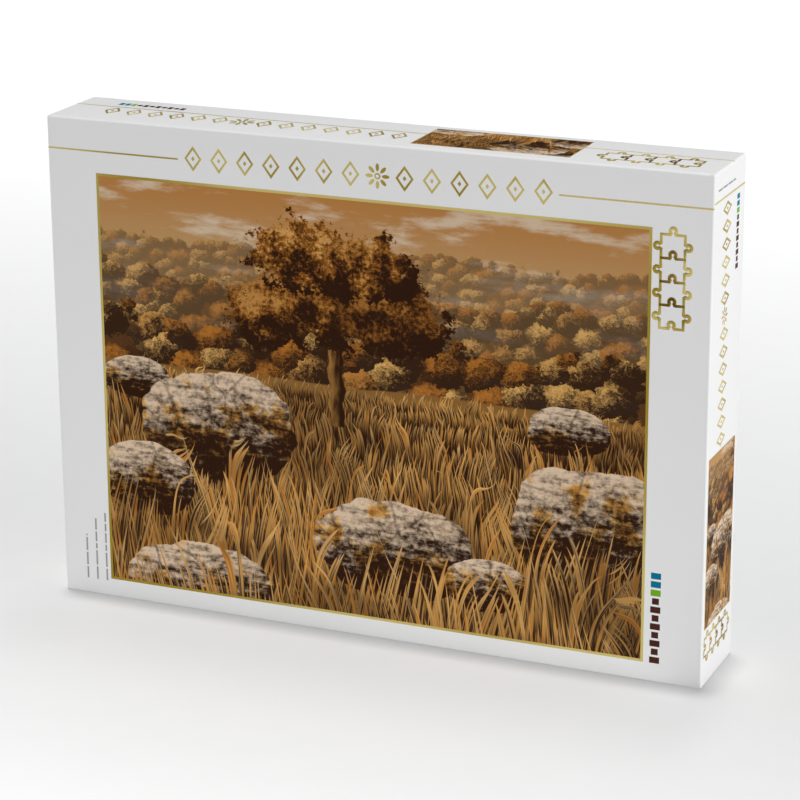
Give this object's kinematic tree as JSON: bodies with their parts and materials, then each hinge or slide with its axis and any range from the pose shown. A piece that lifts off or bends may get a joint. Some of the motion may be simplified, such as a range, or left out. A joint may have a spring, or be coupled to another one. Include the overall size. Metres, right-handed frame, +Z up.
{
  "type": "jigsaw puzzle box",
  "caption": "Closed rigid cardboard jigsaw puzzle box standing on its long side: a printed lift-off lid over a plain tray with a film bag of loose pieces.",
  "frame": {"origin": "middle of the base that the upright box stands on", "axes": "+X to the right along the width, -Y out of the printed front, +Z up"},
  "size_m": [0.373, 0.0524, 0.272],
  "materials": {
    "wrap": "satin",
    "plain_wrap": "satin",
    "picture": "satin",
    "foil": "satin",
    "pieces": "matte"
  },
  "bodies": {
    "tray": {"tray_shell": "plain_wrap", "tray_hem_bottom": "plain_wrap", "tray_hem_top": "plain_wrap", "tray_hem_left": "plain_wrap", "tray_hem_right": "plain_wrap", "piece_bag": "pieces"},
    "lid": {"lid_shell": "wrap", "frame_front": "foil", "picture_front": "picture", "picture_top": "picture", "picture_bottom": "picture", "picture_left": "picture", "picture_right": "picture", "rule_front_left": "foil", "rule_front_right": "foil", "rule_top_left": "foil", "rule_top_right": "foil", "rule_bottom_left": "foil", "rule_bottom_right": "foil", "rule_left": "foil", "rule_right": "foil", "lid_hem_bottom": "wrap", "lid_hem_top": "wrap", "lid_hem_left": "wrap", "lid_hem_right": "wrap"}
  },
  "joints": [
    {"name": "lid_slide", "type": "slide", "parent": "tray", "child": "lid", "axis": [0, -1, 0], "range_m": [0, 0.16]}
  ]
}
